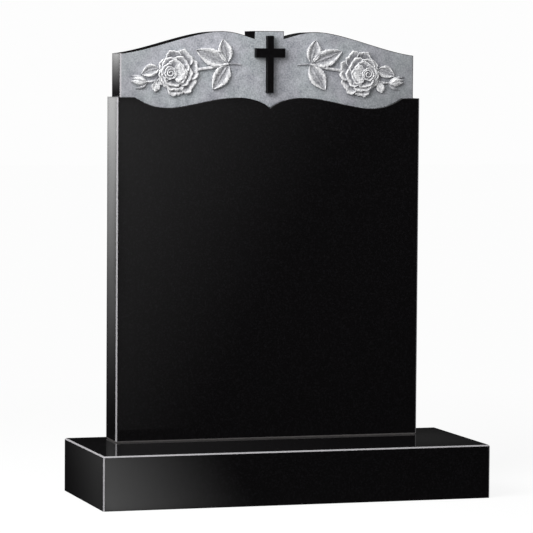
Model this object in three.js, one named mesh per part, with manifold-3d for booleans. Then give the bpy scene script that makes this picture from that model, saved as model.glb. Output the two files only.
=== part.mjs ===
// A black granite headstone: an upright tablet with a carved band of roses and a raised cross, on a low base.
// Millimetres, +Z up. The front faces -Y, and the origin is the middle of the base's underside.
import * as THREE from "three";
import { mergeVertices } from "three/addons/utils/BufferGeometryUtils.js";
import Module from "manifold-3d";

const wasm = await Module();
wasm.setup();

// The base is a plain block, and the tablet stands near its back edge.
const BASE_WIDTH = 762;
const BASE_DEPTH = 305;
const BASE_HEIGHT = 102;
const BACK_LEDGE = 25;
const ARRIS = 2.5; // the chamfer that breaks each straight edge in sight

// The tablet's lower body is the polished panel. Its heights are measured from the tablet's foot.
const TABLET_WIDTH = 610;
const TABLET_THICKNESS = 76;
const TABLET_HALF = TABLET_WIDTH / 2;
const SHOULDER_HEIGHT = 659;
const SHOULDER_CORNER = 270;
const TROUGH_HEIGHT = 639;
const CREST_HEIGHT = 659;
const POINT_HEIGHT = 639;

// The carved band above it is cut back at the face and both ends. It rises in two wings, with a square block
// between them.
const BAND_RECESS = 12;
const BAND_INSET = 9;
const BAND_HALF = TABLET_HALF - BAND_INSET;
const BAND_PLANE = TABLET_THICKNESS - BAND_RECESS; // the band's face, from the tablet's back
const BAND_FOOT = 590; // where the band's stone ends inside the panel
const BAND_END_HEIGHT = 742;
const WING_HEIGHT = 786;
const DIP_HEIGHT = 773;
const BLOCK_HALF = 30;
const BLOCK_HEIGHT = 787;

// The cross is left standing to the level of the panel's face.
const CROSS_TOP = 778;
const CROSS_FOOT = 668;
const CROSS_ARM_TOP = 754;
const CROSS_ARM_FOOT = 736;
const CROSS_SPAN_HALF = 29.5;
const CROSS_STEM_HALF = 6.4;
const CROSS_ARRIS = 1;

// The right half of each outline, which the left half mirrors. A place with two numbers ends a straight line,
// and one with six ends a curve, after its two handles. The panel and the band are sawn square and chamfered
// first, and their outlines then cut the top, so these start past the stone's sides and foot.
const OVERCUT = 10;
const PANEL_OUTLINE = [
  [TABLET_HALF + OVERCUT, -OVERCUT],
  [TABLET_HALF + OVERCUT, SHOULDER_HEIGHT],
  [SHOULDER_CORNER, SHOULDER_HEIGHT],
  [248, 646, 232, TROUGH_HEIGHT, 205, TROUGH_HEIGHT],
  [165, TROUGH_HEIGHT, 115, CREST_HEIGHT, 65, CREST_HEIGHT],
  [38, CREST_HEIGHT, 14, 651, 0, POINT_HEIGHT],
];
const BAND_OUTLINE = [
  [BAND_HALF + OVERCUT, BAND_FOOT - OVERCUT],
  [BAND_HALF + OVERCUT, BAND_END_HEIGHT],
  [BAND_HALF, BAND_END_HEIGHT],
  [230, 749.5, 150, WING_HEIGHT, 94, WING_HEIGHT],
  [70, WING_HEIGHT, 50, 778.5, BLOCK_HALF, DIP_HEIGHT],
  [BLOCK_HALF, BLOCK_HEIGHT],
];
const CROSS_OUTLINE = [
  [CROSS_STEM_HALF, CROSS_FOOT],
  [CROSS_STEM_HALF, CROSS_ARM_FOOT],
  [CROSS_SPAN_HALF, CROSS_ARM_FOOT],
  [CROSS_SPAN_HALF, CROSS_ARM_TOP],
  [CROSS_STEM_HALF, CROSS_ARM_TOP],
  [CROSS_STEM_HALF, CROSS_TOP],
];
const CURVE_STEPS = 10;

// The carving rises from the band and never passes the panel's face.
const CARVING_SINK = 5; // how far each carved form runs back into the band
const CARVING_TOP = BAND_RECESS - 0.2;

// One rose spray. X runs outwards from the middle of the stone, and the other spray mirrors it. The bloom
// looks outwards and a little down, so each ring of petals inside the first lies further out and lower.
const BLOOM_X = 185;
const BLOOM_Y = 709;
const HEART_X = BLOOM_X + 14;
const HEART_Y = BLOOM_Y - 4;
const BLOOM_RINGS = [
  {
    petals: 7, start: 0.35, inner: 25, outer: 40, tall: 1.12, stray: 0.1,
    out: 0, drop: 0, floor: 1.6, lip: 5.4, tilt: 1.5,
  },
  {
    petals: 5, start: 0.9, inner: 18, outer: 33, tall: 1.03, stray: 0.04,
    out: 4, drop: 3.5, floor: 3, lip: 7.6, tilt: 1.3,
  },
  {
    petals: 4, start: 0.2, inner: 11, outer: 26, tall: 1, stray: 0,
    out: 6.5, drop: 4.5, floor: 4.8, lip: 9.4, tilt: 1,
  },
  {
    petals: 3, start: 1.2, inner: 4, outer: 13, tall: 1, stray: 0,
    out: 14, drop: 4, floor: 7.4, lip: 11, tilt: 0.6,
  },
];
const STRAY_TOWARDS = 3.9; // the petals on this bearing, low on the inner side, reach furthest
const PETAL_OVERLAP = 1.34; // each petal's spread over its share of the ring
const PETAL_ROUNDING = 0.26; // how far its outer corners draw in, as a share of its reach
const PETAL_HOLLOW = 2; // over 1, a petal is dished inside its lip, and under 1 it is full
const LIP_WAVE = 0.035; // how far its lip wanders in and out, as a share of its reach
const LIP_WAVES = 6; // how often it does, in radians over half the petal
const LIP_CREST = 0.85; // where along the petal its lip stands highest
const LIP_ROLL = 10; // how sharply the lip rolls over past its crest
const BROAD_PETAL = {
  x: HEART_X, y: HEART_Y, azimuth: Math.PI, spread: 1.9,
  inner: 8, outer: 29, floor: 6.6, lip: 10.6, tilt: 0.3, hollow: 0.45,
};
const LOOSE_PETAL = {
  x: 222, y: 700, azimuth: -1.35, spread: 0.75,
  inner: 3, outer: 30, floor: 2.2, lip: 5, tilt: 0.6, hollow: 0.7,
};
const HEART_PROFILE = [[0, -CARVING_SINK], [10, -CARVING_SINK], [10, 8], [5.5, 9.4], [0, 8.6]];
const HEART_SIDES = 14;
const CURL = { outer: 9, inner: 2.4, turns: 1.6, width: 2.6, top: 11.8, fall: 1.6 };
const SPRAY_LEAVES = [
  { from: [84, 727], to: [94, 770.5], halfWidth: 14.3, bend: -1, rim: 6.4 },
  { from: [86, 725], to: [147, 749.5], halfWidth: 16.3, bend: -1, rim: 6.8 },
  { from: [83, 721], to: [113, 674.5], halfWidth: 16.3, bend: 0, rim: 6.4 },
  { from: [221, 714], to: [255, 702], halfWidth: 12, bend: 2, rim: 5.8 },
];
const OVAL_BALANCE = 0.85; // under 1, a leaf or bud is widest past its middle
const OVAL_FULLNESS = 0.8; // under 1, its sides are fuller than a sine
const TIP_HALF = 0.5; // half the width that its two ends keep
const LEAF_RIM_AT = 0.82; // the rim's crest, as a share of the half width
const LEAF_RIM_WIDTH = 0.38;
const MIDRIB_WIDTH = 0.14;
const MIDRIB_HEIGHT = 0.55; // against the rim, where the midrib starts
const MIDRIB_FADE = 0.35; // how much of that it has lost at the tip
const BLADE_DEPTH = 0.58; // how far the blade is dished below the rim, as a share of its height
const LEAF_ENDS = 0.62; // the relief at both ends, as a share of the middle's
const BUD_ENDS = 0.55;
const BUD_FULL = 0.12; // how far before its middle a bud is fullest
const ROUND_SIDES = 0.8; // how far a stem's or bud's section falls away at its sides
const SPRAY_STEMS = [
  { path: [[57, 722], [70, 724.5], [86, 723.5]], halfWidth: 1.6, height: 2.6 },
  { path: [[83, 724], [112, 716], [146, 712]], halfWidth: 3.2, height: 5 },
  { path: [[216, 694], [234, 687], [248, 688.5]], halfWidth: 2.2, height: 4 },
];
const BUD_FORMS = [
  { from: [243, 687], to: [266, 675.5], halfWidth: 3.2, bend: -3, top: 3.6 },
  { from: [243, 689], to: [276, 700], halfWidth: 3.6, bend: 3, top: 4.4 },
  { from: [243, 688], to: [275, 689], halfWidth: 7, bend: 0, top: 6.6 },
  { from: [246, 689], to: [273, 694.5], halfWidth: 4, bend: 2, top: 7.8 },
];

// How finely each kind of form is cut: steps across it and steps along it.
const PETAL_CUT = [6, 4];
const LEAF_CUT = [8, 6];
const STEM_CUT = [3, 5];
const BUD_CUT = [4, 5];
const CURL_CUT = [2, 16];

// A closed mesh with shared vertices, as a solid that can be joined and cut.
function solidFrom(positions, triangles) {
  const mesh = new wasm.Mesh({
    numProp: 3,
    vertProperties: new Float32Array(positions),
    triVerts: new Uint32Array(triangles),
  });
  return new wasm.Manifold(mesh);
}

function solidOf(geometry) {
  geometry.deleteAttribute("normal");
  geometry.deleteAttribute("uv");
  const merged = mergeVertices(geometry);
  return solidFrom(merged.getAttribute("position").array, merged.getIndex().array);
}

function geometryOf(solid) {
  const mesh = solid.getMesh();
  const geometry = new THREE.BufferGeometry();
  geometry.setAttribute("position", new THREE.BufferAttribute(mesh.vertProperties, 3));
  geometry.setIndex(new THREE.BufferAttribute(mesh.triVerts, 1));
  geometry.computeVertexNormals();
  return geometry;
}

// A slab cut to an outline, with its front and back edges chamfered. Z runs from the back to the front.
function slab(shape, back, front, chamfer) {
  const geometry = new THREE.ExtrudeGeometry(shape, {
    depth: front - back - 2 * chamfer,
    bevelThickness: chamfer,
    bevelSize: chamfer,
    bevelOffset: -chamfer,
    bevelSegments: 1,
    bevelEnabled: chamfer > 0,
  });
  geometry.translate(0, 0, back + chamfer);
  return solidOf(geometry);
}

// The whole outline, from the foot up the right-hand side and down the left.
function symmetricShape([start, ...places]) {
  const path = new THREE.Path();
  path.moveTo(...start);
  for (const place of places) {
    if (place.length === 2) path.lineTo(...place);
    else path.bezierCurveTo(...place);
  }
  const right = path.getPoints(CURVE_STEPS);
  const left = right.filter((point) => point.x > 0).map((point) => new THREE.Vector2(-point.x, point.y));
  return new THREE.Shape([...right, ...left.reverse()]);
}

// A sawn stone with its front and back edges chamfered, cut to an outline whose own edges stay sharp.
function sawnStone(outline, halfWidth, foot, front) {
  const head = BLOCK_HEIGHT + OVERCUT;
  const corners = [[halfWidth, foot], [halfWidth, head], [-halfWidth, head], [-halfWidth, foot]];
  const square = new THREE.Shape(corners.map(([x, y]) => new THREE.Vector2(x, y)));
  const profile = slab(symmetricShape(outline), -OVERCUT, front + OVERCUT, 0);
  return slab(square, 0, front, ARRIS).intersect(profile);
}

// A carved form as a closed solid. point(s, t) gives [x, y, relief], with s from -1 to 1 across the form and
// t from 0 to 1 along it. side mirrors it to the left or right spray.
function carved(point, across, along, side) {
  const positions = [];
  const triangles = [];
  const columns = across + 1;
  const count = columns * (along + 1);
  let area = 0;
  for (let j = 0; j <= along; j++) {
    for (let i = 0; i <= across; i++) {
      const [x, y, relief] = point(-1 + (2 * i) / across, Math.sin(((j / along) * Math.PI) / 2));
      positions.push(side * x, y, BAND_PLANE + Math.min(relief, CARVING_TOP));
    }
  }
  for (let k = 0; k < count; k++) {
    positions.push(positions[3 * k], positions[3 * k + 1], BAND_PLANE - CARVING_SINK);
  }
  const quad = (a, b, c, d) => triangles.push(a, b, c, a, c, d);
  for (let j = 0; j < along; j++) {
    for (let i = 0; i < across; i++) {
      const a = j * columns + i;
      const [b, c, d] = [a + 1, a + 1 + columns, a + columns];
      quad(a, b, c, d);
      quad(d + count, c + count, b + count, a + count);
      const [ax, ay] = positions.slice(3 * a);
      const [cx, cy] = positions.slice(3 * c);
      const [bx, by] = positions.slice(3 * b);
      const [dx, dy] = positions.slice(3 * d);
      area += (cx - ax) * (dy - by) - (dx - bx) * (cy - ay);
    }
  }
  const wall = (a, b) => quad(a + count, b + count, b, a);
  for (let i = 0; i < across; i++) {
    wall(i, i + 1);
    wall(along * columns + i + 1, along * columns + i);
  }
  for (let j = 0; j < along; j++) {
    wall((j + 1) * columns, j * columns);
    wall(j * columns + across, (j + 1) * columns + across);
  }
  return solidFrom(positions, area > 0 ? triangles : triangles.reverse());
}

// A rose petal: a hollow, then a rolled and slightly waved lip, with one side tucked under its neighbour.
function petalRelief(petal) {
  const { x, y, azimuth, spread, inner, outer, floor, lip, tilt } = petal;
  const { tall = 1, wave = 0, hollow = PETAL_HOLLOW } = petal;
  return (s, t) => {
    const angle = azimuth + (s * spread) / 2;
    const edge = outer * (1 - PETAL_ROUNDING * Math.abs(s) ** 3 + LIP_WAVE * Math.cos(LIP_WAVES * s + wave));
    const radius = inner + (edge - inner) * t;
    const roll = t < LIP_CREST ? (t / LIP_CREST) ** hollow : 1 - LIP_ROLL * (t - LIP_CREST) ** 2;
    const relief = floor + (lip - floor) * roll + tilt * s;
    return [x + radius * Math.cos(angle), y + tall * radius * Math.sin(angle), relief];
  };
}

// The petals of one ring of the bloom.
function ringPetals(ring) {
  const share = (2 * Math.PI) / ring.petals;
  return Array.from({ length: ring.petals }, (_, index) => {
    const azimuth = ring.start + index * share;
    const spread = share * PETAL_OVERLAP;
    const outer = ring.outer * (1 + ring.stray * Math.cos(azimuth - STRAY_TOWARDS));
    const [x, y] = [BLOOM_X + ring.out, BLOOM_Y - ring.drop];
    return petalRelief({ ...ring, x, y, azimuth, spread, outer, wave: index });
  });
}

// The tight curl in the heart of the bloom, on a low dome.
function curlRelief(s, t) {
  const angle = 2 * Math.PI * CURL.turns * t;
  const radius = CURL.inner + (CURL.outer - CURL.inner) * t + (s * CURL.width) / 2;
  const relief = CURL.top - CURL.fall * s * s;
  return [HEART_X + radius * Math.cos(angle), HEART_Y + radius * Math.sin(angle), relief];
}

function heartSolid(side) {
  const profile = HEART_PROFILE.map(([radius, relief]) => new THREE.Vector2(radius, relief));
  const dome = new THREE.LatheGeometry(profile, HEART_SIDES);
  dome.rotateX(Math.PI / 2);
  dome.translate(side * HEART_X, HEART_Y, BAND_PLANE);
  return solidOf(dome);
}

// The place at (s, t) on a pointed oval that runs from one point to another, bowed sideways in the middle.
function ovalPlace({ from, to, halfWidth, bend }, s, t) {
  const [dx, dy] = [to[0] - from[0], to[1] - from[1]];
  const length = Math.hypot(dx, dy);
  const width = Math.max(halfWidth * Math.sin(Math.PI * t ** OVAL_BALANCE) ** OVAL_FULLNESS, TIP_HALF);
  const sideways = s * width + bend * Math.sin(Math.PI * t);
  return [from[0] + dx * t - (dy / length) * sideways, from[1] + dy * t + (dx / length) * sideways];
}

// A leaf: a raised rim, a dished blade and a midrib that fades towards the tip. Both ends lie lower.
function leafRelief(leaf) {
  return (s, t) => {
    const rim = Math.exp(-(((Math.abs(s) - LEAF_RIM_AT) / LEAF_RIM_WIDTH) ** 2));
    const midrib = Math.exp(-((s / MIDRIB_WIDTH) ** 2)) * (MIDRIB_HEIGHT - MIDRIB_FADE * t);
    const blade = 1 - BLADE_DEPTH * (1 - Math.max(rim, midrib));
    const ends = LEAF_ENDS + (1 - LEAF_ENDS) * Math.sin(Math.PI * t);
    return [...ovalPlace(leaf, s, t), leaf.rim * blade * ends];
  };
}

// A bud's petal or sepal, rounded across and fullest before its middle.
function budRelief(form) {
  return (s, t) => {
    const swell = BUD_ENDS + (1 - BUD_ENDS) * Math.sin(Math.PI * Math.min(t + BUD_FULL, 1));
    return [...ovalPlace(form, s, t), form.top * swell * Math.sqrt(1 - ROUND_SIDES * s * s)];
  };
}

// A round stem along a bowed path.
function stemRelief({ path, halfWidth, height }) {
  const curve = new THREE.QuadraticBezierCurve(...path.map(([x, y]) => new THREE.Vector2(x, y)));
  return (s, t) => {
    const place = curve.getPoint(t);
    const tangent = curve.getTangent(t);
    const sideways = s * halfWidth;
    const relief = height * Math.sqrt(1 - ROUND_SIDES * s * s);
    return [place.x - tangent.y * sideways, place.y + tangent.x * sideways, relief];
  };
}

// All the carved forms of one spray, where side is 1 on the right and -1 on the left.
function spraySolids(side) {
  const petals = [...BLOOM_RINGS.flatMap(ringPetals), petalRelief(BROAD_PETAL), petalRelief(LOOSE_PETAL)];
  const cut = (points, [across, along]) => points.map((point) => carved(point, across, along, side));
  return [
    heartSolid(side),
    ...cut([curlRelief], CURL_CUT),
    ...cut(petals, PETAL_CUT),
    ...cut(SPRAY_LEAVES.map(leafRelief), LEAF_CUT),
    ...cut(SPRAY_STEMS.map(stemRelief), STEM_CUT),
    ...cut(BUD_FORMS.map(budRelief), BUD_CUT),
  ];
}

function tabletGeometry() {
  const panel = sawnStone(PANEL_OUTLINE, TABLET_HALF, 0, TABLET_THICKNESS);
  const band = sawnStone(BAND_OUTLINE, BAND_HALF, BAND_FOOT, BAND_PLANE);
  const crossShape = symmetricShape(CROSS_OUTLINE);
  const cross = slab(crossShape, BAND_PLANE - CARVING_SINK, TABLET_THICKNESS, CROSS_ARRIS);
  const tablet = wasm.Manifold.union([panel, band, cross, ...spraySolids(1), ...spraySolids(-1)]);
  const geometry = geometryOf(tablet);
  geometry.rotateX(Math.PI / 2); // stands it up, with its face towards -Y
  return geometry;
}

// The base is a rectangle with cut corners, chamfered at the top and left square where it meets the ground.
function baseGeometry() {
  const [x, y] = [BASE_WIDTH / 2, BASE_DEPTH / 2];
  const corners = [
    [-x, -y + ARRIS], [-x + ARRIS, -y], [x - ARRIS, -y], [x, -y + ARRIS],
    [x, y - ARRIS], [x - ARRIS, y], [-x + ARRIS, y], [-x, y - ARRIS],
  ];
  const footprint = new THREE.Shape(corners.map(([a, b]) => new THREE.Vector2(a, b)));
  const block = slab(footprint, -BASE_HEIGHT, BASE_HEIGHT, ARRIS);
  const ground = new THREE.BoxGeometry(2 * BASE_WIDTH, 2 * BASE_DEPTH, 2 * BASE_HEIGHT);
  ground.translate(0, 0, -BASE_HEIGHT);
  return geometryOf(block.subtract(solidOf(ground)));
}

const headstone = new THREE.Group();

const polishedGranite = { color: 0x121113, roughness: 0.08, metalness: 0 };
const base = new THREE.Mesh(baseGeometry(), new THREE.MeshStandardMaterial(polishedGranite));
base.name = "base";
headstone.add(base);

const tablet = new THREE.Mesh(tabletGeometry(), new THREE.MeshStandardMaterial(polishedGranite));
tablet.name = "tablet";
tablet.position.set(0, BASE_DEPTH / 2 - BACK_LEDGE, BASE_HEIGHT);
headstone.add(tablet);

export default headstone;
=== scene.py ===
import math

import bmesh
import bpy
import numpy as np
from mathutils import Matrix, Vector


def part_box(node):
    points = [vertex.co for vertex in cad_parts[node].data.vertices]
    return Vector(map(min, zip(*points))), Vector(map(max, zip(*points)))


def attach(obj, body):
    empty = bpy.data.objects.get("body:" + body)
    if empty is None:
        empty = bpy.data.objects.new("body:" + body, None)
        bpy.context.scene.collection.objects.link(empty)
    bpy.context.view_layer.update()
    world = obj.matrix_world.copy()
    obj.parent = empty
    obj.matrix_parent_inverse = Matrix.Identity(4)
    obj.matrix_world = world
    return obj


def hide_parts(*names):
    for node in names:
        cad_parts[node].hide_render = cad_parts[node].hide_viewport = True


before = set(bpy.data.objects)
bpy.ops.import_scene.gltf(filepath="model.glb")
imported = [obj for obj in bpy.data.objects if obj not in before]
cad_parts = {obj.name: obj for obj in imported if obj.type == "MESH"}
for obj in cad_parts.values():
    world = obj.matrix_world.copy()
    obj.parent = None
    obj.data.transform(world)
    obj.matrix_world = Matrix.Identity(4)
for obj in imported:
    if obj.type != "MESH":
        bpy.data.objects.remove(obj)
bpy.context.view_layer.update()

# The headstone: a polished black granite tablet with a carved rose band and a cross, on a polished base.
# Metres, +Z up, and the front faces -Y. The two stones' outer sizes come from their parts in model.glb.
BASE_LOW, BASE_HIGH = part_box("base")
TABLET_LOW, TABLET_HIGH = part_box("tablet")
TABLET_HALF = (TABLET_HIGH.x - TABLET_LOW.x) / 2
TABLET_THICKNESS = TABLET_HIGH.y - TABLET_LOW.y
BLOCK_HEIGHT = TABLET_HIGH.z - TABLET_LOW.z  # the block in the middle is the tablet's highest part
ARRIS = 0.0025  # the chamfer that breaks each straight edge in sight
JOINT = 0.0027  # the chamfer all round the tablet's foot, which the pointing fills

# Heights on the tablet are measured from its foot, and widths from its middle.
SHOULDER_HEIGHT = 0.659
SHOULDER_CORNER = 0.270
TROUGH_HEIGHT = 0.639
CREST_HEIGHT = 0.659
POINT_HEIGHT = 0.639
BAND_RECESS = 0.012
BAND_INSET = 0.009
BAND_HALF = TABLET_HALF - BAND_INSET
BAND_PLANE = TABLET_THICKNESS - BAND_RECESS  # the band's face, from the tablet's back
BAND_FOOT = 0.590  # where the band's stone ends inside the panel
BAND_END_HEIGHT = 0.742
RIGHT_FADE_START = 0.06  # from here out to its end, the band is painted darker and darker, as shade
LEFT_FADE_START = -0.18
WING_HEIGHT = 0.786
DIP_HEIGHT = 0.773
BLOCK_HALF = 0.030
CROSS_TOP = 0.778
CROSS_FOOT = 0.668
CROSS_ARM_TOP = 0.754
CROSS_ARM_FOOT = 0.736
CROSS_SPAN_HALF = 0.0295
CROSS_STEM_HALF = 0.0064
CROSS_ARRIS = 0.001
HEAD_ARRIS = 0.0012  # along the curved edges, and left polished

# The right half of each outline, which the left half mirrors. A place with two numbers ends a straight line,
# and one with six ends a curve, after its two handles. The first two outlines cut stones sawn square, so
# they start past the sides.
OVERCUT = 0.010
PANEL_OUTLINE = [
    (TABLET_HALF + OVERCUT, -OVERCUT),
    (TABLET_HALF + OVERCUT, SHOULDER_HEIGHT),
    (SHOULDER_CORNER, SHOULDER_HEIGHT),
    (0.248, 0.646, 0.232, TROUGH_HEIGHT, 0.205, TROUGH_HEIGHT),
    (0.165, TROUGH_HEIGHT, 0.115, CREST_HEIGHT, 0.065, CREST_HEIGHT),
    (0.038, CREST_HEIGHT, 0.014, 0.651, 0.0, POINT_HEIGHT),
]
BAND_OUTLINE = [
    (BAND_HALF + OVERCUT, BAND_FOOT - OVERCUT),
    (BAND_HALF + OVERCUT, BAND_END_HEIGHT),
    (BAND_HALF, BAND_END_HEIGHT),
    (0.230, 0.7495, 0.150, WING_HEIGHT, 0.094, WING_HEIGHT),
    (0.070, WING_HEIGHT, 0.050, 0.7785, BLOCK_HALF, DIP_HEIGHT),
    (BLOCK_HALF, BLOCK_HEIGHT),
]
CROSS_OUTLINE = [
    (CROSS_STEM_HALF, CROSS_FOOT),
    (CROSS_STEM_HALF, CROSS_ARM_FOOT),
    (CROSS_SPAN_HALF, CROSS_ARM_FOOT),
    (CROSS_SPAN_HALF, CROSS_ARM_TOP),
    (CROSS_STEM_HALF, CROSS_ARM_TOP),
    (CROSS_STEM_HALF, CROSS_TOP),
]
CURVE_STEPS = 40

# The carving rises from the band and never reaches the panel's face.
CARVING_SINK = 0.005  # how far each carved form runs back into the band
CARVING_SHORT = 0.0002  # how far short of the panel's face it stops
CARVING_TOP = BAND_RECESS - CARVING_SHORT

# One rose spray. X runs outwards from the middle of the stone, and the other spray mirrors it. The bloom
# looks outwards and a little down, so each ring of petals inside the first lies further out and lower.
BLOOM_X = 0.185
BLOOM_Y = 0.709
HEART_OUT = 0.014  # how far the heart lies outside the bloom's middle
HEART_DROP = 0.004
HEART_X = BLOOM_X + HEART_OUT
HEART_Y = BLOOM_Y - HEART_DROP
BLOOM_RINGS = [
    dict(
        petals=7, start=0.35, inner=0.025, outer=0.040, tall=1.12, stray=0.10,
        out=0.0, drop=0.0, floor=0.0016, lip=0.0054, tilt=0.0015,
    ),
    dict(
        petals=5, start=0.90, inner=0.018, outer=0.033, tall=1.03, stray=0.04,
        out=0.004, drop=0.0035, floor=0.0030, lip=0.0076, tilt=0.0013,
    ),
    dict(
        petals=4, start=0.20, inner=0.011, outer=0.026, tall=1.0, stray=0.0,
        out=0.0065, drop=0.0045, floor=0.0048, lip=0.0094, tilt=0.0010,
    ),
    dict(
        petals=3, start=1.20, inner=0.004, outer=0.013, tall=1.0, stray=0.0,
        out=HEART_OUT, drop=HEART_DROP, floor=0.0074, lip=0.0110, tilt=0.0006,
    ),
]
STRAY_TOWARDS = 3.9  # the petals on this bearing, low on the inner side, reach furthest
PETAL_OVERLAP = 1.34  # each petal's spread over its share of the ring
PETAL_ROUNDING = 0.26  # how far its outer corners draw in, as a share of its reach
PETAL_HOLLOW = 2.0  # over 1, a petal is dished inside its lip, and under 1 it is full
LIP_WAVE = 0.035  # how far its lip wanders in and out, as a share of its reach
LIP_WAVES = 6  # how often it does, in radians over half the petal
FINE_WAVE = 0.5  # the size of the finer waves between, against the broad ones
FINE_WAVE_RATE = 2.6  # how much oftener they come
FINE_WAVE_SHIFT = 2.3  # sets them differently on each petal
LIP_CREST = 0.85  # where along the petal its lip stands highest
LIP_ROLL = 10.0  # how sharply the lip rolls over past its crest
PETAL_FOLDS = 0.07  # the depth of the creases that fan out over a petal, as a share of its rise
FOLD_RATE = 9  # how often they come, in radians over half the petal
FOLD_SHIFT = 1.7  # sets them differently on each petal
BROAD_PETAL = dict(
    x=HEART_X, y=HEART_Y, azimuth=math.pi, spread=1.9,
    inner=0.008, outer=0.029, floor=0.0066, lip=0.0106, tilt=0.0003, hollow=0.45,
)
LOOSE_PETAL = dict(
    x=0.222, y=0.700, azimuth=-1.35, spread=0.75,
    inner=0.003, outer=0.030, floor=0.0022, lip=0.0050, tilt=0.0006, hollow=0.7,
)
HEART_RADIUS = 0.010
HEART_TOP = 0.0094
HEART_FALL = 0.0014
HEART_TIP = 0.004  # keeps the two ends of the swept disc from closing to a point
CURL = dict(outer=0.009, inner=0.0024, turns=1.6, width=0.0026, top=0.0118, fall=0.0016)
CURL_SHADE = 0.5  # how much less bruised white and painted highlight the curl's sides get than its crest
SPRAY_LEAVES = [
    dict(start=(0.084, 0.727), end=(0.094, 0.7705), half_width=0.0143, bend=-0.001, rim=0.0064),
    dict(start=(0.086, 0.725), end=(0.147, 0.7495), half_width=0.0163, bend=-0.001, rim=0.0068),
    dict(start=(0.083, 0.721), end=(0.113, 0.6745), half_width=0.0163, bend=0.0, rim=0.0064),
    dict(start=(0.221, 0.714), end=(0.255, 0.7020), half_width=0.0120, bend=0.002, rim=0.0058),
]
OVAL_BALANCE = 0.85  # under 1, a leaf or bud is widest past its middle
OVAL_FULLNESS = 0.8  # under 1, its sides are fuller than a sine
TIP_HALF = 0.0005  # half the width that its two ends keep
LEAF_RIM_AT = 0.82  # the rim's crest, as a share of the half width
LEAF_RIM_WIDTH = 0.38
LEAF_TEETH = 9
LEAF_TOOTH = 0.1  # a tooth's depth, as a share of the half width
LEAF_VEINS = 6
LEAF_ENDS = 0.62  # the relief at both ends, as a share of the middle's
MIDRIB_WIDTH = 0.14
MIDRIB_RISE = 0.55
MIDRIB_FADE = 0.35  # how much of that rise is gone at the tip
VEIN_SLANT = 0.22  # how far along the leaf a vein runs on its way to the rim
VEIN_RISE = 0.2
VEIN_WIDTH = 0.14
BLADE_DEPTH = 0.58  # how far the blade is dished below the rim, as a share of its height
BLADE_BRUISE_AND_HIGHLIGHT = 0.42  # how much bruised white and painted highlight the blade gets against the rim, which limits its painted shade
BUD_ENDS = 0.55
BUD_FULL = 0.12  # how far before its middle a bud is fullest
ROUND_SIDES = 0.8  # how far a stem's or bud's section falls away at its sides
STRUCK_HEIGHT = 0.006  # a stem or bud lower than this gets less bruised white and painted highlight than a petal's lip
NODE_SWELL = 0.3  # how much thicker a stem is at its node
NODE_AT = 0.55  # the node's place along the stem
NODE_LENGTH = 0.05
SPRAY_STEMS = [
    dict(path=((0.057, 0.722), (0.070, 0.7245), (0.086, 0.7235)), half_width=0.0016, height=0.0026),
    dict(path=((0.083, 0.724), (0.112, 0.716), (0.146, 0.712)), half_width=0.0032, height=0.0050),
    dict(path=((0.216, 0.694), (0.234, 0.687), (0.248, 0.6885)), half_width=0.0022, height=0.0040),
]
BUD_FORMS = [
    dict(start=(0.243, 0.687), end=(0.266, 0.6755), half_width=0.0032, bend=-0.003, top=0.0036),
    dict(start=(0.243, 0.689), end=(0.276, 0.7000), half_width=0.0036, bend=0.003, top=0.0044),
    dict(start=(0.243, 0.688), end=(0.275, 0.6890), half_width=0.0070, bend=0.0, top=0.0066),
    dict(start=(0.246, 0.689), end=(0.273, 0.6945), half_width=0.0040, bend=0.002, top=0.0078),
]

# The blows of the chisel, as two sets of waves. The broad ones sway sideways and up, each by so many
# radians and so often, and the fine ones slant.
BLOW_SPACING = 0.0065  # from one blow to the next
BLOW_DEPTH = 0.0009
BLOW_BRUISE_AND_HIGHLIGHT = 0.5  # how much more or less bruised white and painted highlight a lip gets from blow to blow
SIDE_SWAY, SIDE_SWAY_RATE = 2.0, 0.7
RISE_SWAY, RISE_SWAY_RATE = 1.7, 0.8
FINE_SIDE_RATE, FINE_SIDE_SLANT = 1.9, 0.4
FINE_RISE_RATE, FINE_RISE_SLANT = 1.6, 0.3
FINE_SHARE = 0.35

# Steps across and along each kind of form.
PETAL_CUT = (36, 20)
LEAF_CUT = (32, 54)
STEM_CUT = (8, 24)
BUD_CUT = (14, 20)
CURL_CUT = (8, 90)

SHARP_ANGLE = math.radians(28)
ON_PLANE = 1e-6  # how near to the band's plane a corner counts as on it
SLIVER = 2e-7  # an edge shorter than this, left where the forms were joined, is dissolved
STONE_IOR = 1.55

# A Mix node's sockets go by number, because those for colours and for plain numbers share their names.
MIX_SHARE = 0
NUMBER_A, NUMBER_B = 2, 3
COLOUR_A, COLOUR_B = 6, 7
MIXED_COLOUR = 2


# Colour and nodes
def linear(code):
    """An sRGB hex colour as the linear colour that a shader takes."""
    parts = [int(code[i:i + 2], 16) / 255 for i in (1, 3, 5)]
    return (*[p / 12.92 if p <= 0.04045 else ((p + 0.055) / 1.055) ** 2.4 for p in parts], 1.0)


def scale_of(millimetres):
    """The texture scale that repeats a pattern about every so many millimetres."""
    return 1000 / millimetres


def add_node(tree, kind, inputs, **settings):
    """Adds a node, with its own settings, and each input either linked from a socket or set to a value."""
    made = tree.nodes.new(kind)
    for name, value in settings.items():
        setattr(made, name, value)
    for name, value in inputs.items():
        if isinstance(value, bpy.types.NodeSocket):
            tree.links.new(value, made.inputs[name])
        else:
            made.inputs[name].default_value = value
    return made


def new_material(name, roughness):
    """A stone material with its node tree, its shader and the place on the stone."""
    material = bpy.data.materials.new(name)
    material.use_nodes = True
    tree = material.node_tree
    shader = tree.nodes["Principled BSDF"]
    shader.inputs["Roughness"].default_value = roughness
    shader.inputs["IOR"].default_value = STONE_IOR
    return material, tree, shader, add_node(tree, "ShaderNodeTexCoord", {}).outputs["Object"]


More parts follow.
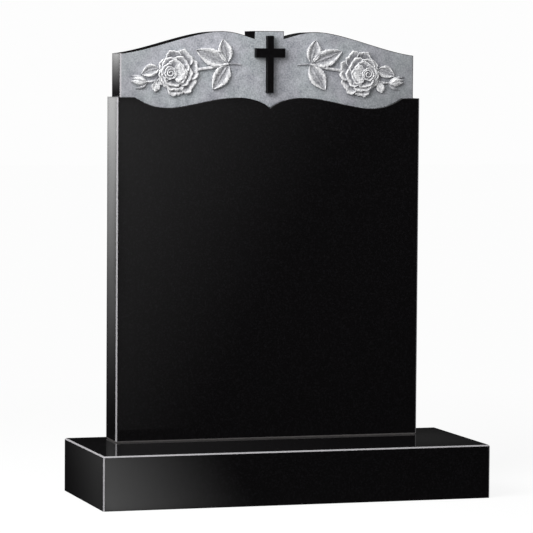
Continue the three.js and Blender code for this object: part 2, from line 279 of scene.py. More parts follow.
# Finishes of the stone
def polished_black_granite():
    """Gabbro polished to a mirror: near black, with faint grey crystals under a hard gloss."""
    material, tree, shader, place = new_material("polished_black_granite", 0.05)
    # The crystals are about 1 mm across, drawn at 2.5 mm because a millimetre is half a pixel.
    crystals = add_node(tree, "ShaderNodeTexVoronoi", {"Vector": place, "Scale": scale_of(2.5)}, feature="F1")
    flecks = add_node(tree, "ShaderNodeMapRange", {
        "Value": crystals.outputs["Color"], "From Min": 0.55, "From Max": 1.0, "To Min": 0.0, "To Max": 1.0,
    })
    colour = add_node(tree, "ShaderNodeMix", {
        MIX_SHARE: flecks.outputs[0], COLOUR_A: linear("#0f0e0f"), COLOUR_B: linear("#181719"),
    }, data_type="RGBA")
    # The polishing heads left the gloss slightly uneven, in patches of about 110 mm.
    wipe = add_node(tree, "ShaderNodeTexNoise", {"Vector": place, "Scale": scale_of(110), "Detail": 3.0})
    gloss = add_node(tree, "ShaderNodeMapRange", {
        "Value": wipe.outputs[0], "From Min": 0.3, "From Max": 0.7, "To Min": 0.035, "To Max": 0.06,
    })
    tree.links.new(colour.outputs[MIXED_COLOUR], shader.inputs["Base Color"])
    tree.links.new(gloss.outputs[0], shader.inputs["Roughness"])
    return material


def honed_granite_arris():
    """The same stone rubbed down by hand along its sawn edges, so a matt grey line shows there."""
    material, tree, shader, place = new_material("honed_granite_arris", 0.4)
    # The grain is about 1 mm, drawn at 4 mm because a millimetre is half a pixel.
    grain = add_node(tree, "ShaderNodeTexNoise", {"Vector": place, "Scale": scale_of(4), "Detail": 2.0})
    colour = add_node(tree, "ShaderNodeMix", {
        MIX_SHARE: grain.outputs[0], COLOUR_A: linear("#8f8d90"), COLOUR_B: linear("#b1afb2"),
    }, data_type="RGBA")
    tree.links.new(colour.outputs[MIXED_COLOUR], shader.inputs["Base Color"])
    return material


def black_stone_lacquer():
    """Lacquer brushed on the cut sides of the cross to match its polished face: black and dull."""
    material, tree, shader, place = new_material("black_stone_lacquer", 0.6)
    # The brush marks are about 1 mm apart, drawn at 4 mm because a millimetre is half a pixel.
    strokes = add_node(tree, "ShaderNodeTexNoise", {"Vector": place, "Scale": scale_of(4), "Detail": 1.0})
    colour = add_node(tree, "ShaderNodeMix", {
        MIX_SHARE: strokes.outputs[0], COLOUR_A: linear("#050505"), COLOUR_B: linear("#0d0c0d"),
    }, data_type="RGBA")
    tree.links.new(colour.outputs[MIXED_COLOUR], shader.inputs["Base Color"])
    shader.inputs["Specular IOR Level"].default_value = 0.2
    return material


def cement_pointing():
    """Cement struck flush along the joint under the tablet: a warm pale grey, dull and gritty."""
    material, tree, shader, place = new_material("cement_pointing", 0.9)
    # The sand is under 1 mm, drawn at about 3 mm so that it shows at all.
    sand = add_node(tree, "ShaderNodeTexNoise", {"Vector": place, "Scale": scale_of(3), "Detail": 2.0})
    colour = add_node(tree, "ShaderNodeMix", {
        MIX_SHARE: sand.outputs[0], COLOUR_A: linear("#dcd6d5"), COLOUR_B: linear("#f0ebea"),
    }, data_type="RGBA")
    tree.links.new(colour.outputs[MIXED_COLOUR], shader.inputs["Base Color"])
    return material


def frosted_colour(tree, place, dark, pale):
    """The mottled grey of bruised granite, as a colour and the grain that also roughens the surface."""
    # The mottle follows the stone's own clusters of crystals, about 17 mm across.
    mottle = add_node(tree, "ShaderNodeTexNoise", {
        "Vector": place, "Scale": scale_of(17), "Detail": 4.0, "Roughness": 0.65,
    })
    # The blast pits are under 1 mm, drawn at about 3 mm so that they show at all.
    grain = add_node(tree, "ShaderNodeTexNoise", {"Vector": place, "Scale": scale_of(3), "Detail": 2.0})
    patches = add_node(tree, "ShaderNodeMapRange", {
        "Value": mottle.outputs[0], "From Min": 0.3, "From Max": 0.7, "To Min": 0.0, "To Max": 0.5,
    })
    specks = add_node(tree, "ShaderNodeMapRange", {
        "Value": grain.outputs[0], "From Min": 0.35, "From Max": 0.65, "To Min": 0.0, "To Max": 0.5,
    })
    share = add_node(tree, "ShaderNodeMath", {0: patches.outputs[0], 1: specks.outputs[0]}, operation="ADD")
    colour = add_node(tree, "ShaderNodeMix", {
        MIX_SHARE: share.outputs[0], COLOUR_A: dark, COLOUR_B: pale,
    }, data_type="RGBA")
    return colour.outputs[MIXED_COLOUR], grain.outputs[0]


def sandblasted_granite():
    """The band's ground, blasted back below the polish: pale grey, matt, mottled blue and violet."""
    material, tree, shader, place = new_material("sandblasted_granite", 0.75)
    cool, grain = frosted_colour(tree, place, linear("#83898e"), linear("#c8ccd0"))
    # The tint drifts with the passes of the nozzle, about 60 mm apart.
    clouds = add_node(tree, "ShaderNodeTexNoise", {"Vector": place, "Scale": scale_of(60), "Detail": 2.0})
    drift = add_node(tree, "ShaderNodeMapRange", {
        "Value": clouds.outputs[0], "From Min": 0.4, "From Max": 0.6, "To Min": 0.0, "To Max": 0.8,
    })
    tint = add_node(tree, "ShaderNodeMix", {
        MIX_SHARE: drift.outputs[0], COLOUR_A: linear("#ffffff"), COLOUR_B: linear("#fdf7fc"),
    }, data_type="RGBA")
    mottled = add_node(tree, "ShaderNodeMix", {
        MIX_SHARE: 1.0, COLOUR_A: cool, COLOUR_B: tint.outputs[MIXED_COLOUR],
    }, data_type="RGBA", blend_type="MULTIPLY")
    # Both ends are painted darker, the right-hand one most, as painted shade on the ground.
    sideways = add_node(tree, "ShaderNodeSeparateXYZ", {"Vector": place}).outputs["X"]
    right_end = add_node(tree, "ShaderNodeMapRange", {
        "Value": sideways, "From Min": RIGHT_FADE_START, "From Max": BAND_HALF, "To Min": 0.0, "To Max": 0.38,
    })
    left_end = add_node(tree, "ShaderNodeMapRange", {
        "Value": sideways, "From Min": LEFT_FADE_START, "From Max": -BAND_HALF, "To Min": 0.0, "To Max": 0.3,
    })
    painted_end_shade = add_node(tree, "ShaderNodeMath", {
        0: right_end.outputs[0], 1: left_end.outputs[0],
    }, operation="ADD")
    colour = add_node(tree, "ShaderNodeMix", {
        MIX_SHARE: painted_end_shade.outputs[0],
        COLOUR_A: mottled.outputs[MIXED_COLOUR],
        COLOUR_B: linear("#6f6f70"),
    }, data_type="RGBA")
    pits = add_node(tree, "ShaderNodeBump", {"Height": grain, "Strength": 0.35, "Distance": 0.0008})
    tree.links.new(colour.outputs[MIXED_COLOUR], shader.inputs["Base Color"])
    tree.links.new(pits.outputs[0], shader.inputs["Normal"])
    return material


def hand_carved_granite():
    """Chiselled petals and leaves: lips bruised white with a painted highlight, hollows in painted shade."""
    material, tree, shader, place = new_material("hand_carved_granite", 0.7)
    ground, grain = frosted_colour(tree, place, linear("#76767c"), linear("#c6c7cb"))
    # The lip mark whitens struck lips, partly as a painted highlight, and darkens hollows as painted shade.
    lip = add_node(tree, "ShaderNodeAttribute", {}, attribute_name="lip").outputs["Fac"]
    bruise_and_highlight = add_node(tree, "ShaderNodeMapRange", {
        "Value": lip, "From Min": 0.3, "From Max": 0.95, "To Min": 0.0, "To Max": 1.0,
    }, interpolation_type="SMOOTHSTEP")
    # The chisel struck every 6 mm or so, and each blow left its own bright spot on the painted highlight.
    blows = add_node(tree, "ShaderNodeTexNoise", {"Vector": place, "Scale": scale_of(6), "Detail": 1.0})
    strength = add_node(tree, "ShaderNodeMapRange", {
        "Value": blows.outputs[0], "From Min": 0.35, "From Max": 0.6, "To Min": 0.45, "To Max": 1.0,
    })
    share = add_node(tree, "ShaderNodeMath", {
        0: bruise_and_highlight.outputs[0], 1: strength.outputs[0],
    }, operation="MULTIPLY")
    # Painted shade: the lower the lip mark, the darker the hollow is painted, down to #55555a.
    painted_hollow_shade = add_node(tree, "ShaderNodeMapRange", {
        "Value": lip, "From Min": 0.0, "From Max": 0.45, "To Min": 0.45, "To Max": 0.0,
    })
    with_painted_shade = add_node(tree, "ShaderNodeMix", {
        MIX_SHARE: painted_hollow_shade.outputs[0], COLOUR_A: ground, COLOUR_B: linear("#55555a"),
    }, data_type="RGBA")
    colour = add_node(tree, "ShaderNodeMix", {
        MIX_SHARE: share.outputs[0], COLOUR_A: with_painted_shade.outputs[MIXED_COLOUR], COLOUR_B: linear("#f4f4f5"),
    }, data_type="RGBA")
    pits = add_node(tree, "ShaderNodeBump", {"Height": grain, "Strength": 0.3, "Distance": 0.0006})
    tree.links.new(colour.outputs[MIXED_COLOUR], shader.inputs["Base Color"])
    tree.links.new(pits.outputs[0], shader.inputs["Normal"])
    return material


POLISHED = polished_black_granite()
HONED = honed_granite_arris()
POINTED = cement_pointing()
LACQUERED = black_stone_lacquer()
SANDBLASTED = sandblasted_granite()
CARVED = hand_carved_granite()


# Outlines and sawn stones
def symmetric_outline(places):
    """The whole outline as points, up the right-hand side and down the left, its curves cut into steps."""
    right = [places[0]]
    for place in places[1:]:
        if len(place) == 2:
            right.append(place)
            continue
        ends = np.array([right[-1], place[0:2], place[2:4], place[4:6]])
        for t in np.linspace(0, 1, CURVE_STEPS + 1)[1:]:
            weights = np.array([(1 - t) ** 3, 3 * t * (1 - t) ** 2, 3 * t * t * (1 - t), t ** 3])
            right.append(tuple(weights @ ends))
    left = [(-x, y) for x, y in reversed(right) if x > 0]
    return np.array(right + left)


def inset(outline, distance):
    """The outline moved inwards by a distance, with mitred corners. It runs anticlockwise."""
    edge = np.roll(outline, -1, axis=0) - outline
    edge /= np.linalg.norm(edge, axis=1, keepdims=True)
    inward = np.stack([-edge[:, 1], edge[:, 0]], axis=1)
    before = np.roll(inward, 1, axis=0)
    mitre = (inward + before) / (1 + (inward * before).sum(axis=1, keepdims=True))
    return outline + mitre * distance


def new_piece(name, points, faces, finishes):
    """A mesh object from points, faces and each face's finish, with its faces turned outwards."""
    mesh = bpy.data.meshes.new(name)
    mesh.from_pydata(points, [], faces)
    slots = list(dict.fromkeys(finishes))
    for finish in slots:
        mesh.materials.append(finish)
    mesh.polygons.foreach_set("material_index", [slots.index(finish) for finish in finishes])
    shape = bmesh.new()
    shape.from_mesh(mesh)
    bmesh.ops.recalc_face_normals(shape, faces=shape.faces)
    shape.to_mesh(mesh)
    shape.free()
    piece = bpy.data.objects.new(name, mesh)
    bpy.context.scene.collection.objects.link(piece)
    return piece


def ringed_solid(name, rings, caps, wall):
    """A closed solid through rings of points. caps are its ends' finishes, and wall gives the sides'."""
    points = [point for ring in rings for point in ring]
    count = len(rings[0])
    last = (len(rings) - 1) * count
    faces = [tuple(range(count)), tuple(range(last, last + count))]
    finishes = list(caps)
    for ring in range(len(rings) - 1):
        for i in range(count):
            a, b = ring * count + i, ring * count + (i + 1) % count
            faces.append((a, b, b + count, a + count))
            finishes.append(wall(ring, i))
    return new_piece(name, points, faces, finishes)


def slab(name, outline, back, front, arris, face, wall, edge):
    """A slab in X and height, with chamfered edges, a polished back and a finish for each other part."""
    small = inset(outline, arris)
    levels = [(small, front), (outline, front - arris), (outline, back + arris), (small, back)]
    rings = [[(x, depth, z) for x, z in ring] for ring, depth in levels]
    return ringed_solid(name, rings, (face, POLISHED), lambda ring, i: wall if ring == 1 else edge)


def combined(operation, body, others):
    """A body united with other solids, or cut to what it shares with them. Each part's finish is kept."""
    group = bpy.data.collections.new("others")
    for other in others:
        group.objects.link(other)
    change = body.modifiers.new("change", "BOOLEAN")
    change.operation = operation
    change.solver = "MANIFOLD"
    change.operand_type = "COLLECTION"
    change.collection = group
    change.material_mode = "TRANSFER"
    name = body.name
    solid = body.evaluated_get(bpy.context.evaluated_depsgraph_get())
    mesh = bpy.data.meshes.new_from_object(solid)
    for old in [body, *others]:
        bpy.data.objects.remove(old)
    bpy.data.collections.remove(group)
    piece = bpy.data.objects.new(name, mesh)
    bpy.context.scene.collection.objects.link(piece)
    return piece


def pointed_foot():
    """What the tablet is cut to at its foot, where a chamfer all round takes the pointing of the joint."""
    corners = np.array([
        (TABLET_HALF, 0.0), (TABLET_HALF, TABLET_THICKNESS),
        (-TABLET_HALF, TABLET_THICKNESS), (-TABLET_HALF, 0.0),
    ])
    past = inset(corners, -OVERCUT)
    levels = [
        (inset(corners, JOINT), 0.0), (corners, JOINT),
        (past, JOINT + OVERCUT), (past, BLOCK_HEIGHT + OVERCUT),
    ]
    rings = [[(x, y, height) for x, y in ring] for ring, height in levels]
    return ringed_solid(
        "foot", rings, (POLISHED, POLISHED), lambda ring, i: POINTED if ring == 0 else POLISHED,
    )


def sawn_stone(name, outline, half_width, foot, front, face):
    """A stone sawn square with honed arrises, cut to an outline whose own arris is finer and polished."""
    head = BLOCK_HEIGHT + OVERCUT
    corners = np.array([(half_width, foot), (half_width, head), (-half_width, head), (-half_width, foot)])
    square = slab(name, corners, 0.0, front, ARRIS, face, POLISHED, HONED)
    places = symmetric_outline(outline)
    drawn_in = inset(places, HEAD_ARRIS)
    levels = [
        (places, -OVERCUT), (places, front - HEAD_ARRIS),
        (drawn_in, front), (drawn_in, front + OVERCUT),
    ]
    rings = [[(x, depth, z) for x, z in ring] for ring, depth in levels]
    profile = ringed_solid(f"{name}_profile", rings, (POLISHED, POLISHED), lambda ring, i: POLISHED)
    return combined("INTERSECT", square, [profile])


# Carved forms. Each takes s from -1 to 1 across and t from 0 to 1 along, and gives x, height, relief and lip.
# lip is the mark for bruised white with painted highlight, and where it is low, for painted shade.
def petal_relief(
    s, t, x, y, azimuth, spread, inner, outer, floor, lip, tilt, tall=1.0, wave=0.0, hollow=PETAL_HOLLOW,
):
    """A rose petal: a hollow, then a rolled and waved lip, with one side tucked under its neighbour."""
    angle = azimuth + s * spread / 2
    fine = np.cos(FINE_WAVE_RATE * LIP_WAVES * s + FINE_WAVE_SHIFT * wave)
    ripple = np.cos(LIP_WAVES * s + wave) + FINE_WAVE * fine
    radius = inner + (outer * (1 - PETAL_ROUNDING * np.abs(s) ** 3 + LIP_WAVE * ripple) - inner) * t
    roll = np.where(t < LIP_CREST, (t / LIP_CREST) ** hollow, 1 - LIP_ROLL * (t - LIP_CREST) ** 2)
    folds = PETAL_FOLDS * np.cos(FOLD_RATE * s + FOLD_SHIFT * wave) * t * (1 - t) * 4
    relief = floor + (lip - floor) * (roll + folds) + tilt * s
    return x + radius * np.cos(angle), y + tall * radius * np.sin(angle), relief, roll + folds


def curl_relief(s, t):
    """The tight curl in the heart of the bloom."""
    angle = 2 * math.pi * CURL["turns"] * t
    radius = CURL["inner"] + (CURL["outer"] - CURL["inner"]) * t + s * CURL["width"] / 2
    relief = CURL["top"] - CURL["fall"] * s * s
    bruise_and_highlight = 1 - CURL_SHADE * s * s
    return HEART_X + radius * np.cos(angle), HEART_Y + radius * np.sin(angle), relief, bruise_and_highlight


def heart_relief(s, t):
    """The low dome under the curl, as a disc swept across."""
    rise = 2 * t - 1
    half = np.sqrt(np.maximum(1 - rise ** 2, HEART_TIP))
    relief = HEART_TOP - HEART_FALL * ((s * half) ** 2 + rise ** 2)
    return HEART_X + HEART_RADIUS * s * half, HEART_Y + HEART_RADIUS * rise, relief, np.zeros_like(s)


def oval_place(s, t, start, end, half_width, bend, tooth=0.0):
    """The place on a pointed oval from one point to another, bowed in the middle, with toothed sides."""
    run = np.array(end) - np.array(start)
    side = np.array([-run[1], run[0]]) / np.linalg.norm(run)
    notch = 1 + tooth * ((LEAF_TEETH * t) % 1 - 0.5)
    width = np.maximum(half_width * np.sin(np.pi * t ** OVAL_BALANCE) ** OVAL_FULLNESS * notch, TIP_HALF)
    sideways = s * width + bend * np.sin(np.pi * t)
    return start[0] + run[0] * t + side[0] * sideways, start[1] + run[1] * t + side[1] * sideways


def leaf_relief(s, t, start, end, half_width, bend, rim):
    """A rose leaf: a raised toothed rim, a dished blade with veins, and a midrib that fades to the tip."""
    edge = np.exp(-(((np.abs(s) - LEAF_RIM_AT) / LEAF_RIM_WIDTH) ** 2))
    midrib = np.exp(-((s / MIDRIB_WIDTH) ** 2)) * (MIDRIB_RISE - MIDRIB_FADE * t)
    branch = (LEAF_VEINS * (t - VEIN_SLANT * np.abs(s))) % 1
    vein = VEIN_RISE * np.exp(-(((branch - 0.5) / VEIN_WIDTH) ** 2)) * (1 - s ** 4)
    height = np.maximum(np.maximum(edge, midrib), vein)
    ends = LEAF_ENDS + (1 - LEAF_ENDS) * np.sin(np.pi * t)
    x, y = oval_place(s, t, start, end, half_width, bend, tooth=LEAF_TOOTH)
    return x, y, rim * (1 - BLADE_DEPTH * (1 - height)) * ends, np.maximum(edge, BLADE_BRUISE_AND_HIGHLIGHT)


def bud_relief(s, t, start, end, half_width, bend, top):
    """A bud's petal or sepal, rounded across and fullest before its middle."""
    swell = BUD_ENDS + (1 - BUD_ENDS) * np.sin(np.pi * np.minimum(t + BUD_FULL, 1))
    crown = swell * np.sqrt(1 - ROUND_SIDES * s * s)
    x, y = oval_place(s, t, start, end, half_width, bend)
    return x, y, top * crown, crown * top / STRUCK_HEIGHT


def stem_relief(s, t, path, half_width, height):
    """A round stem along a bowed path, with one node on it."""
    first, middle, last = (np.array(p) for p in path)
    weights = ((1 - t) ** 2, 2 * t * (1 - t), t ** 2)
    slopes = (2 * (t - 1), 2 - 4 * t, 2 * t)
    x, y = (weights[0] * a + weights[1] * b + weights[2] * c for a, b, c in zip(first, middle, last))
    dx, dy = (slopes[0] * a + slopes[1] * b + slopes[2] * c for a, b, c in zip(first, middle, last))
    node = 1 + NODE_SWELL * np.exp(-(((t - NODE_AT) / NODE_LENGTH) ** 2))
    sideways = s * half_width * node / np.hypot(dx, dy)
    crown = np.sqrt(1 - ROUND_SIDES * s * s)
    return x - dy * sideways, y + dx * sideways, height * crown * node, crown * height / STRUCK_HEIGHT


def chisel_blows(x, y):
    """The uneven surface that a hand chisel leaves, from -1 to 1, in blows that never fall quite in rows."""
    turn = 2 * math.pi / BLOW_SPACING
    swayed_x = turn * x + SIDE_SWAY * np.sin(SIDE_SWAY_RATE * turn * y)
    swayed_y = turn * y + RISE_SWAY * np.sin(RISE_SWAY_RATE * turn * x)
    fine_x = FINE_SIDE_RATE * turn * (x + FINE_SIDE_SLANT * y)
    fine_y = FINE_RISE_RATE * turn * (y - FINE_RISE_SLANT * x)
    broad = np.sin(swayed_x) * np.sin(swayed_y)
    fine = np.sin(fine_x) * np.sin(fine_y)
    return (1 - FINE_SHARE) * broad + FINE_SHARE * fine


def carved_form(name, cut, side, relief, sizes):
    """One carved form as a closed solid that runs back into the band, mirrored to its side."""
    across, along = cut
    s, step = np.meshgrid(np.linspace(-1, 1, across + 1), np.linspace(0, 1, along + 1))
    x, y, height, lip = relief(s, np.sin(step * math.pi / 2), **sizes)
    blows = chisel_blows(side * x + y, y)
    height = height + BLOW_DEPTH * blows
    lip = lip * (1 + BLOW_BRUISE_AND_HIGHLIGHT * blows)
    top = np.stack([side * x, BAND_PLANE + np.minimum(height, CARVING_TOP), y], axis=-1).reshape(-1, 3)
    under = top.copy()
    under[:, 1] = BAND_PLANE - CARVING_SINK
    count = len(top)
    grid = np.arange(count).reshape(along + 1, across + 1)
    quads = np.stack([grid[:-1, :-1], grid[:-1, 1:], grid[1:, 1:], grid[1:, :-1]], axis=-1).reshape(-1, 4)
    rim = np.concatenate([grid[0], grid[1:, -1], grid[-1, -2::-1], grid[-2:0:-1, 0]])
    after = np.roll(rim, -1)
    walls = np.stack([rim + count, after + count, after, rim], axis=-1)
    faces = np.concatenate([quads, quads[:, ::-1] + count, walls]).tolist()
    piece = new_piece(name, np.concatenate([top, under]), faces, [CARVED] * len(faces))
    # The lip mark is 0 along each form's foot, so crevices where forms meet the band are painted dark as
    # shade.
    mark = piece.data.attributes.new("lip", "FLOAT", "POINT")
    mark.data.foreach_set("value", np.concatenate([lip.ravel(), np.zeros(count)]).astype(np.float32))
    return piece


def ring_petals(ring):
    """The sizes of each petal in one ring of the bloom."""
    share = 2 * math.pi / ring["petals"]
    for index in range(ring["petals"]):
        azimuth = ring["start"] + index * share
        yield dict(
            x=BLOOM_X + ring["out"],
            y=BLOOM_Y - ring["drop"],
            azimuth=azimuth,
            spread=share * PETAL_OVERLAP,
            inner=ring["inner"],
            outer=ring["outer"] * (1 + ring["stray"] * math.cos(azimuth - STRAY_TOWARDS)),
            floor=ring["floor"],
            lip=ring["lip"],
            tilt=ring["tilt"],
            tall=ring["tall"],
            wave=float(index),
        )


def spray_forms(side):
    """All the carved forms of one spray, where side is 1 on the right and -1 on the left."""
    petals = [petal for ring in BLOOM_RINGS for petal in ring_petals(ring)]
    kinds = [
        ("petal", PETAL_CUT, petal_relief, [*petals, BROAD_PETAL, LOOSE_PETAL]),
        ("leaf", LEAF_CUT, leaf_relief, SPRAY_LEAVES),
        ("stem", STEM_CUT, stem_relief, SPRAY_STEMS),
        ("bud", BUD_CUT, bud_relief, BUD_FORMS),
        ("heart", BUD_CUT, heart_relief, [{}]),
        ("curl", CURL_CUT, curl_relief, [{}]),
    ]
    return [
        carved_form(f"{kind}_{index}", cut, side, relief, sizes)
        for kind, cut, relief, all_sizes in kinds
        for index, sizes in enumerate(all_sizes)
    ]


def finish_faces(piece, ground_plane=None):
    """Smooth shading, broken at sharp edges and changes of finish. The band's own plane is sandblasted."""
    shape = bmesh.new()
    shape.from_mesh(piece.data)
    bmesh.ops.dissolve_degenerate(shape, dist=SLIVER, edges=shape.edges[:])
    for face in shape.faces:
        face.smooth = True
        if ground_plane is not None and all(abs(v.co.y - ground_plane) < ON_PLANE for v in face.verts):
            face.material_index = piece.data.materials.find(SANDBLASTED.name)
    for edge in shape.edges:
        one_finish = len({face.material_index for face in edge.link_faces}) == 1
        edge.smooth = one_finish and edge.calc_face_angle(0) < SHARP_ANGLE
    shape.to_mesh(piece.data)
    shape.free()


def make_tablet():
    """The upright stone: the panel, the band behind it, the cross and both sprays, all one solid."""
    tablet = sawn_stone("headstone_tablet", PANEL_OUTLINE, TABLET_HALF, 0.0, TABLET_THICKNESS, POLISHED)
    tablet = combined("INTERSECT", tablet, [pointed_foot()])
    band = sawn_stone("band", BAND_OUTLINE, BAND_HALF, BAND_FOOT, BAND_PLANE, SANDBLASTED)
    cross_line = symmetric_outline(CROSS_OUTLINE)
    cross_back = BAND_PLANE - CARVING_SINK
    cross = slab(
        "cross", cross_line, cross_back, TABLET_THICKNESS, CROSS_ARRIS,
        face=POLISHED, wall=LACQUERED, edge=LACQUERED,
    )
    tablet = combined("UNION", tablet, [band, cross, *spray_forms(1), *spray_forms(-1)])
    finish_faces(tablet, BAND_PLANE)
    # The solid was drawn with Y running from back to front, so it is mirrored to face -Y where it stands.
    stand = Matrix.Translation((0, TABLET_HIGH.y, TABLET_LOW.z)) @ Matrix.Scale(-1, 4, (0, 1, 0))
    tablet.data.transform(stand)
    tablet.data.flip_normals()
    return tablet


def make_base():
    """The low stone underneath: chamfered at the top and corners, square where it meets the ground."""
    x, y = BASE_HIGH.x, BASE_HIGH.y
    outline = np.array([
        (x, -y + ARRIS), (x, y - ARRIS), (x - ARRIS, y), (-x + ARRIS, y),
        (-x, y - ARRIS), (-x, -y + ARRIS), (-x + ARRIS, -y), (x - ARRIS, -y),
    ])
    levels = [(outline, BASE_LOW.z), (outline, BASE_HIGH.z - ARRIS), (inset(outline, ARRIS), BASE_HIGH.z)]
    rings = [[(a, b, height) for a, b in ring] for ring, height in levels]
    # The upper ring of sides and the cut corners, which are every second side, are arrises.
    base = ringed_solid(
        "headstone_base", rings, (POLISHED, POLISHED),
        lambda ring, i: HONED if ring == 1 or i % 2 else POLISHED,
    )
    finish_faces(base)
    return base


tablet = make_tablet()
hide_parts("tablet")
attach(tablet, "root")

base = make_base()
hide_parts("base")
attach(base, "root")

# The camera stands where the photograph was taken from, a little to the left and slightly above.
PHOTO_PIXELS = 533
FOCAL_PIXELS = 3136
SENSOR_WIDTH = 36.0
CAMERA_DISTANCE = 6.0
CAMERA_REACH = 100.0
CAMERA_YAW = math.radians(17.29)
CAMERA_PITCH = math.radians(3.59)
CAMERA_ROLL = math.radians(0.40)
CAMERA_AIM = Vector((-0.022, 0.0, 0.439))
CAMERA_BACK = Vector((
    -math.sin(CAMERA_YAW) * math.cos(CAMERA_PITCH),
    -math.cos(CAMERA_YAW) * math.cos(CAMERA_PITCH),
    math.sin(CAMERA_PITCH),
))
CAMERA_PLACE = CAMERA_AIM + CAMERA_BACK * CAMERA_DISTANCE


def make_camera():
    """The photograph's camera, with its small roll."""
    level = Vector((0, 0, 1)).cross(CAMERA_BACK).normalized()
    right = math.cos(CAMERA_ROLL) * level + math.sin(CAMERA_ROLL) * CAMERA_BACK.cross(level)
    axes = Matrix((right, CAMERA_BACK.cross(right), CAMERA_BACK)).transposed().to_4x4()
    camera = bpy.data.objects.new("camera", bpy.data.cameras.new("camera"))
    camera.data.sensor_width = SENSOR_WIDTH
    camera.data.lens = SENSOR_WIDTH * FOCAL_PIXELS / PHOTO_PIXELS
    camera.data.clip_end = CAMERA_REACH
    camera.matrix_world = Matrix.Translation(CAMERA_PLACE) @ axes
    bpy.context.scene.collection.objects.link(camera)
    bpy.context.scene.camera = camera


# The studio: a white floor and backdrop, and soft light from the upper left and from above.
BACKDROP = "#fdfdfd"
FLOOR_HALF = 20.0
FLOOR_GLOW_NEAR = 0.87
FLOOR_GLOW_FAR = 0.975
FLOOR_SHADE = "#616161"  # the part of the white that shows a shadow
SHADE_REACH = (0.5, 2.2)  # metres from the stone over which that part fades out
AMBIENT = 0.28
HORIZON_GLOW = 0.004
DOME_TOP = 0.6
DOME_RISE = (0.11, 0.5)  # the sines of the heights between which the dome brightens
KEY = dict(place=(-1.7, -1.0, 1.8), aim=(0, 0, 0.6), size=1.7, power=73.5)
OVERHEAD = dict(place=(0.0, -0.4, 3.4), aim=(0, 0, 0), size=3.0, power=45.0)

# The cards that the polished faces mirror to the camera, each at its own Y. A card's light is a share of
# bright: the share is start at its low corner, changes by across along X and by up along Z, and follows a
# curve.
PANEL_CARD = dict(card_y=-4.0, bright=0.36, start=0.32, across=-1.19, up=0.68, curve=1.4)
SIDE_CARD = dict(card_y=1.0, bright=1.9, start=0.0, across=0.0, up=1.0, curve=2.2)
BAND_SIDE_CARD = dict(card_y=1.01, bright=1.98, start=0.05, across=0.0, up=0.95, curve=2.2)
BASE_FRONT_CARD = dict(card_y=-1.5, bright=1.4, start=1.06, across=-2.65, up=-0.2, curve=1.63)
BASE_SIDE_CARD = dict(card_y=1.02, bright=0.13, start=0.6, across=-0.75, up=0.4, curve=1.6)
BASE_TOP_CARD = dict(card_y=4.0, bright=0.026, start=-0.6, across=2.0, up=0.0, curve=1.0)


def make_floor():
    """A plain white floor with a soft shadow near the stone. The polish doesn't mirror it."""
    corners = [(x * FLOOR_HALF, y * FLOOR_HALF, 0) for x, y in ((-1, -1), (1, -1), (1, 1), (-1, 1))]
    material = bpy.data.materials.new("white_floor")
    material.use_nodes = True
    tree = material.node_tree
    tree.nodes.clear()
    place = add_node(tree, "ShaderNodeTexCoord", {}).outputs["Object"]
    distance = add_node(tree, "ShaderNodeVectorMath", {0: place}, operation="LENGTH").outputs["Value"]
    away = add_node(tree, "ShaderNodeMapRange", {
        "Value": distance, "From Min": SHADE_REACH[0], "From Max": SHADE_REACH[1],
    }, interpolation_type="SMOOTHSTEP").outputs[0]
    shaded = add_node(tree, "ShaderNodeBsdfDiffuse", {"Color": linear(FLOOR_SHADE)})
    near_glow = add_node(tree, "ShaderNodeEmission", {"Strength": FLOOR_GLOW_NEAR})
    near = add_node(tree, "ShaderNodeAddShader", {0: shaded.outputs[0], 1: near_glow.outputs[0]})
    far = add_node(tree, "ShaderNodeEmission", {"Strength": FLOOR_GLOW_FAR})
    surface = add_node(tree, "ShaderNodeMixShader", {0: away, 1: near.outputs[0], 2: far.outputs[0]})
    add_node(tree, "ShaderNodeOutputMaterial", {"Surface": surface.outputs[0]})
    floor = new_piece("floor", corners, [(0, 1, 2, 3)], [material])
    floor.visible_glossy = False
    floor.visible_diffuse = False


def make_world():
    """White behind the stone, softer on it, and a dome in the polish that is dark along the horizon."""
    world = bpy.data.worlds.new("studio")
    world.use_nodes = True
    bpy.context.scene.world = world
    tree = world.node_tree
    light_path = add_node(tree, "ShaderNodeLightPath", {})
    direction = add_node(tree, "ShaderNodeTexCoord", {}).outputs["Generated"]
    height = add_node(tree, "ShaderNodeSeparateXYZ", {"Vector": direction}).outputs["Z"]
    steepness = add_node(tree, "ShaderNodeMath", {0: height}, operation="ABSOLUTE").outputs[0]
    dome = add_node(tree, "ShaderNodeMapRange", {
        "Value": steepness, "From Min": DOME_RISE[0], "From Max": DOME_RISE[1],
        "To Min": HORIZON_GLOW, "To Max": DOME_TOP,
    }, interpolation_type="SMOOTHSTEP")
    seen = add_node(tree, "ShaderNodeMix", {
        MIX_SHARE: light_path.outputs["Is Glossy Ray"], NUMBER_A: AMBIENT, NUMBER_B: dome.outputs[0],
    }, data_type="FLOAT")
    strength = add_node(tree, "ShaderNodeMix", {
        MIX_SHARE: light_path.outputs["Is Camera Ray"], NUMBER_A: seen.outputs[0], NUMBER_B: 1.0,
    }, data_type="FLOAT")
    tree.links.new(strength.outputs[0], tree.nodes["Background"].inputs["Strength"])
    tree.nodes["Background"].inputs["Color"].default_value = linear(BACKDROP)


def area_light(name, place, aim, size, power):
    """A soft square light that looks at a point.

    The polish doesn't mirror it: in the top of the head it would be as white as the backdrop.
    """
    light = bpy.data.lights.new(name, "AREA")
    light.size = size
    light.energy = power
    lamp = bpy.data.objects.new(name, light)
    lamp.location = place
    lamp.rotation_euler = (Vector(aim) - Vector(place)).to_track_quat("-Z", "Y").to_euler()
    lamp.visible_glossy = False
    bpy.context.scene.collection.objects.link(lamp)


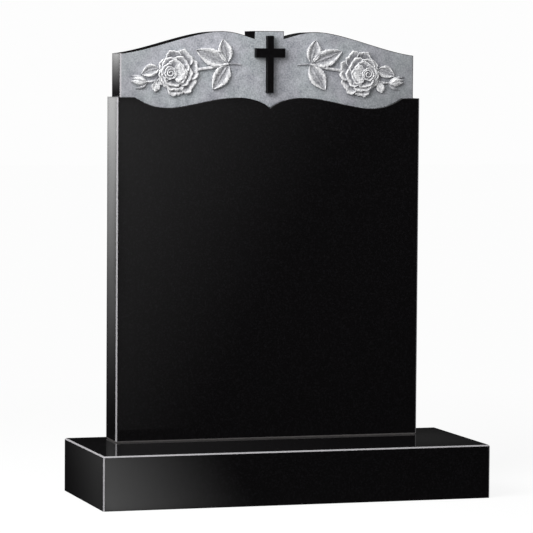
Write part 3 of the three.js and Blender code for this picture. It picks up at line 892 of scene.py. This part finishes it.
def mirrored_place(place, facing, card_y):
    """Where the sight line from the camera to a place on a polished face goes on to, at a card's own Y."""
    bounced = (place - CAMERA_PLACE).reflect(facing)
    return place + bounced * ((card_y - place.y) / bounced.y)


def mirror_card(name, stone, low, high, card_y, bright, start, across, up, curve):
    """A card that one polished face of a stone mirrors to the camera, from the face's low and high corners.

    It lights no other stone, so that no stray reflection of it shows from another side.
    """
    flat = [a == b for a, b in zip(low, high)].index(True)
    first, second = [axis for axis in range(3) if axis != flat]
    after_low, before_low = low.copy(), low.copy()
    after_low[first] = high[first]
    before_low[second] = high[second]
    places = [low, after_low, high, before_low]
    facing = Vector([float(axis == flat) for axis in range(3)])
    material = bpy.data.materials.new(name)
    material.use_nodes = True
    tree = material.node_tree
    tree.nodes.clear()
    spot = add_node(tree, "ShaderNodeTexCoord", {}).outputs["Generated"]
    level = add_node(tree, "ShaderNodeVectorMath", {0: spot, 1: (across, 0.0, up)}, operation="DOT_PRODUCT")
    share = add_node(tree, "ShaderNodeMath", {
        0: level.outputs["Value"], 1: start,
    }, operation="ADD", use_clamp=True)
    shaped = add_node(tree, "ShaderNodeMath", {0: share.outputs[0], 1: curve}, operation="POWER")
    glow = add_node(tree, "ShaderNodeMath", {0: shaped.outputs[0], 1: bright}, operation="MULTIPLY")
    emission = add_node(tree, "ShaderNodeEmission", {"Strength": glow.outputs[0]})
    clear = add_node(tree, "ShaderNodeBsdfTransparent", {})
    surface = add_node(tree, "ShaderNodeAddShader", {0: emission.outputs[0], 1: clear.outputs[0]})
    add_node(tree, "ShaderNodeOutputMaterial", {"Surface": surface.outputs[0]})
    points = [mirrored_place(place, facing, card_y) for place in places]
    card = new_piece(name, points, [(0, 1, 2, 3)], [material])
    card.visible_camera = False
    card.visible_diffuse = False
    card.visible_transmission = False
    card.visible_shadow = False
    lit = bpy.data.collections.new(f"{name}_lights")
    lit.objects.link(stone)
    card.light_linking.receiver_collection = lit


def make_lights():
    """A raking key from the upper left, a light from above, and a card for each face that shows a sheen."""
    area_light("key", **KEY)
    area_light("overhead", **OVERHEAD)
    shoulder = TABLET_LOW.z + SHOULDER_HEIGHT
    band_end = TABLET_LOW.z + BAND_END_HEIGHT
    band_front = TABLET_HIGH.y - BAND_PLANE
    panel = (TABLET_LOW, Vector((TABLET_HIGH.x, TABLET_LOW.y, shoulder)))
    side = (TABLET_LOW, Vector((TABLET_LOW.x, TABLET_HIGH.y, shoulder)))
    band_side = (Vector((-BAND_HALF, band_front, shoulder)), Vector((-BAND_HALF, TABLET_HIGH.y, band_end)))
    base_front = (BASE_LOW, Vector((BASE_HIGH.x, BASE_LOW.y, BASE_HIGH.z)))
    base_side = (BASE_LOW, Vector((BASE_LOW.x, BASE_HIGH.y, BASE_HIGH.z)))
    base_top = (Vector((BASE_LOW.x, BASE_LOW.y, BASE_HIGH.z)), BASE_HIGH)
    mirror_card("panel_card", tablet, *panel, **PANEL_CARD)
    mirror_card("base_card", base, *base_front, **BASE_FRONT_CARD)
    mirror_card("side_card", tablet, *side, **SIDE_CARD)
    mirror_card("band_side_card", tablet, *band_side, **BAND_SIDE_CARD)
    mirror_card("base_side_card", base, *base_side, **BASE_SIDE_CARD)
    mirror_card("base_top_card", base, *base_top, **BASE_TOP_CARD)


make_camera()
make_floor()
make_world()
make_lights()
bpy.context.scene.view_settings.view_transform = "Standard"
